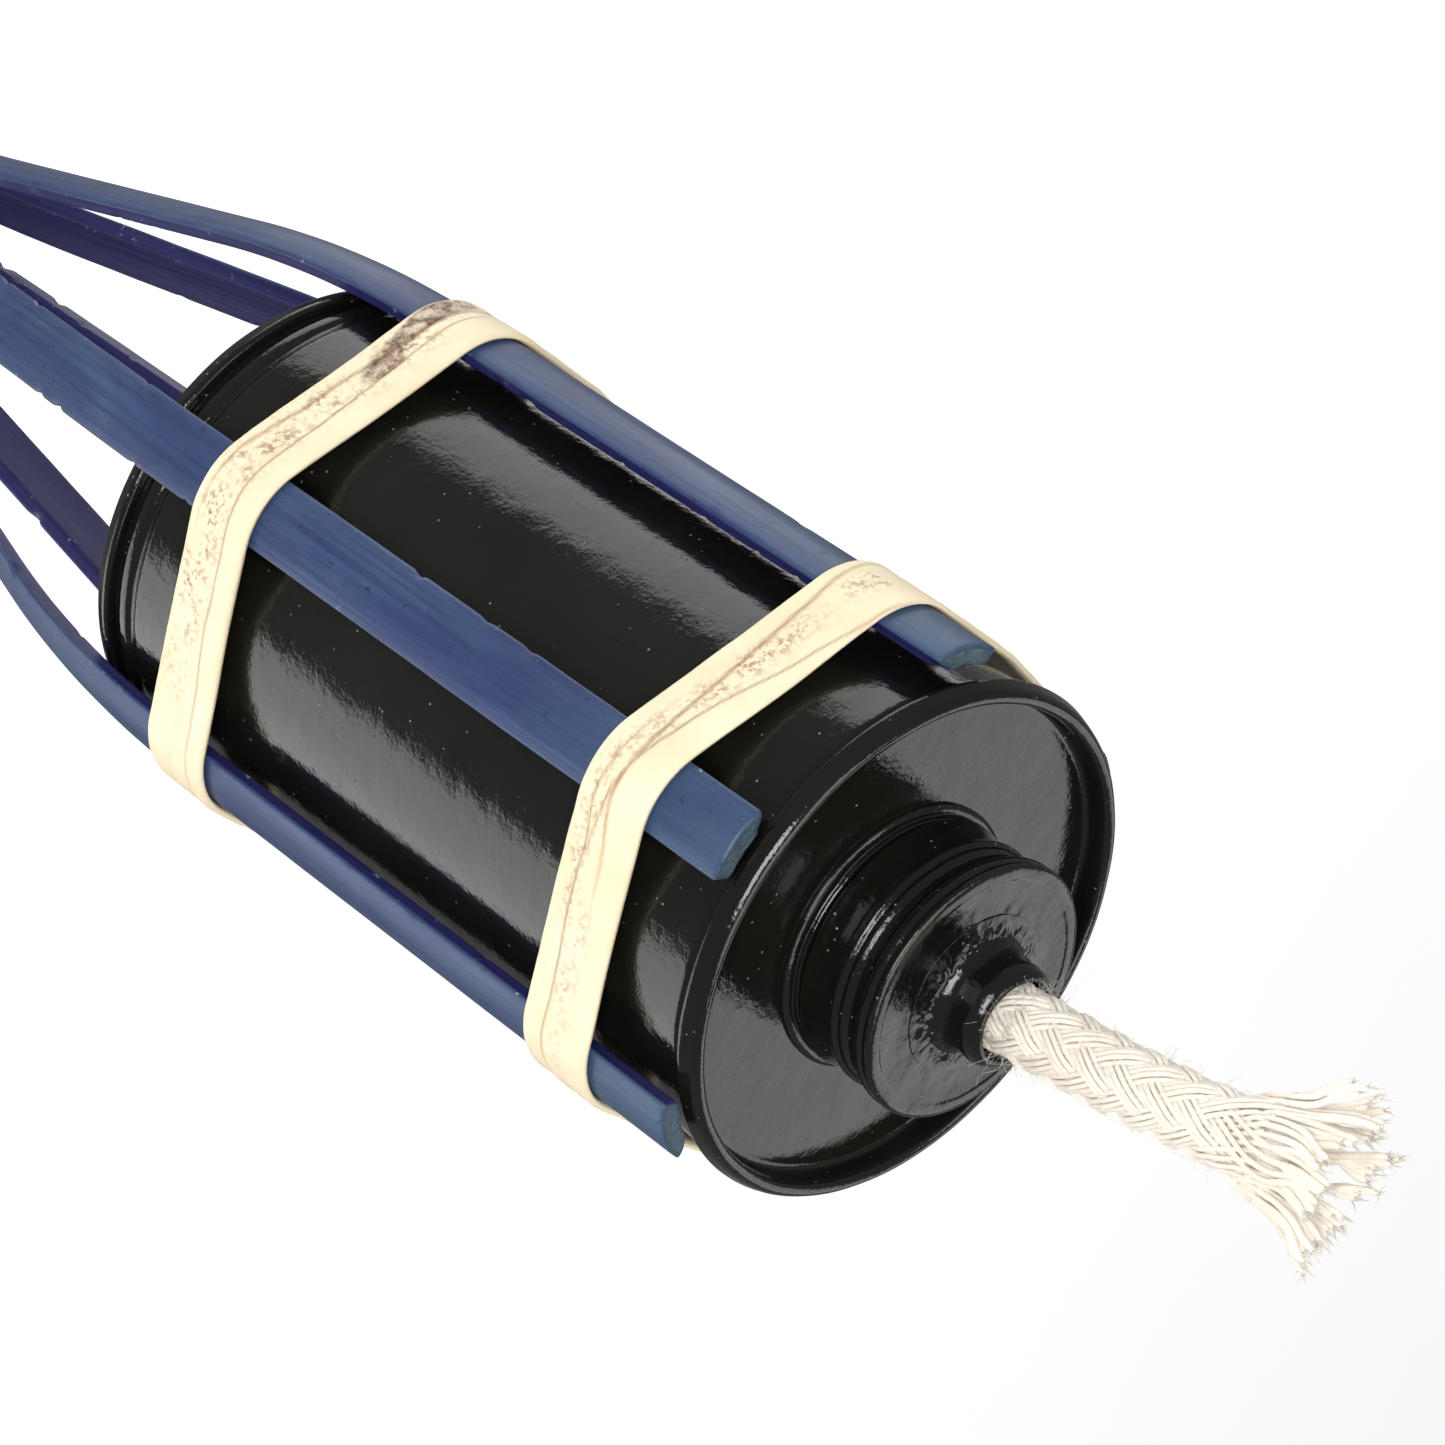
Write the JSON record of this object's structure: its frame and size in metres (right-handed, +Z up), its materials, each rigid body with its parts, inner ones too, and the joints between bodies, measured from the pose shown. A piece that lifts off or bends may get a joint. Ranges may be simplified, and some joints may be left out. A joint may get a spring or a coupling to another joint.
{
  "type": "bamboo garden torch",
  "caption": "Bamboo pole torch: split slats sprung round a black oil canister, held by rubber bands, with a screw cap and rope wick.",
  "frame": {"origin": "centre of the pole's foot, where the pole goes into the ground or a socket", "axes": "+Z up along the pole, -Y towards the slat at the front"},
  "size_m": [0.0734, 0.0812, 0.9816],
  "materials": {
    "dyed_bamboo": "satin dyed bamboo",
    "latex": "matt natural latex",
    "black_tinplate": "gloss black enamel",
    "black_cap": "gloss black enamel",
    "seal_rubber": "matt seal rubber",
    "cotton": "braided cotton"
  },
  "bodies": {
    "torch_frame": {"bamboo_pole": "dyed_bamboo", "slat_1": "dyed_bamboo", "slat_2": "dyed_bamboo", "slat_3": "dyed_bamboo", "slat_4": "dyed_bamboo", "slat_5": "dyed_bamboo", "slat_6": "dyed_bamboo", "lower_band": "latex", "upper_band": "latex"},
    "canister": {"canister_body": "black_tinplate", "canister_bottom": "black_tinplate", "canister_top": "black_tinplate", "neck_collar": "black_tinplate", "filler_neck": "black_tinplate"},
    "seal": {"cap_seal": "seal_rubber"},
    "cap": {"cap_shell": "black_cap", "wick_holder": "black_cap"},
    "wick": {"wick": "cotton", "wick_fray": "cotton"}
  },
  "joints": [
    {"name": "canister_lift", "type": "slide", "parent": "torch_frame", "child": "canister", "axis": [0, 0, 1], "range_m": [0, 0.13]},
    {"name": "cap_rise", "type": "slide", "parent": "canister", "child": "seal", "axis": [0, 0, 1], "range_m": [0, 0.0091]},
    {"name": "cap_turn", "type": "hinge", "parent": "seal", "child": "cap", "pos_m": [0, 0, 0.9], "axis": [0, 0, 1], "range_deg": [0, 1080]},
    {"name": "wick_feed", "type": "slide", "parent": "cap", "child": "wick", "axis": [0, 0, 1], "range_m": [0, 0.03]}
  ],
  "couplings": [
    {"joint": "cap_rise", "follows": "cap_turn", "m_per_rad": 0.00047746}
  ]
}
